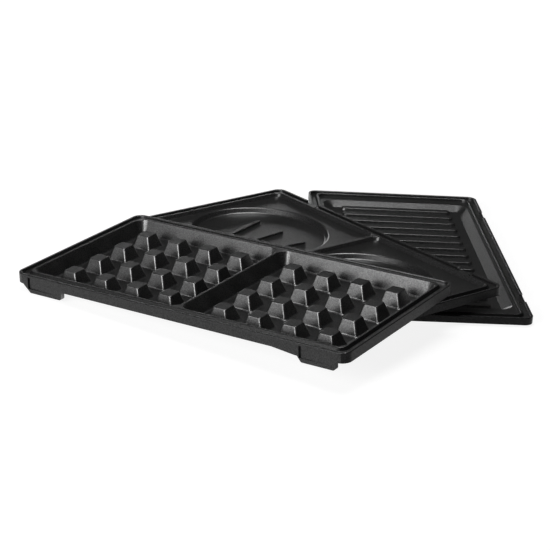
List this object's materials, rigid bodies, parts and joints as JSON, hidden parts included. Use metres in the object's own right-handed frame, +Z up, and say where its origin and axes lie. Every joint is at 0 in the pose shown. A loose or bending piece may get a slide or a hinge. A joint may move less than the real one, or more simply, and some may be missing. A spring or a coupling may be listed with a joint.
{
  "type": "contact grill plate set",
  "caption": "Interchangeable cast cooking plates of a contact grill, lying on each other: a waffle plate, a sandwich plate with oval recesses and a ribbed grill plate.",
  "frame": {"origin": "centre of the flat underside of the grill plate, where it lies on the worktop", "axes": "+Z up, +X to the right and +Y away from the viewer as seen in the picture"},
  "size_m": [0.3117, 0.3483, 0.031],
  "materials": {
    "grill_coating": "cast aluminium with a black semi-gloss non-stick coating",
    "sandwich_coating": "cast aluminium with a black semi-gloss non-stick coating",
    "waffle_coating": "cast aluminium with a black semi-gloss non-stick coating"
  },
  "bodies": {
    "grill": {"grill_plate": "grill_coating"},
    "sandwich": {"sandwich_plate": "sandwich_coating"},
    "waffle": {"waffle_plate": "waffle_coating"}
  },
  "joints": [
    {"name": "sandwich_lift", "type": "slide", "parent": "grill", "child": "sandwich", "axis": [0, 0, 1], "range_m": [0, 0.06]},
    {"name": "waffle_lift", "type": "slide", "parent": "sandwich", "child": "waffle", "axis": [0, 0, 1], "range_m": [0, 0.06]}
  ]
}
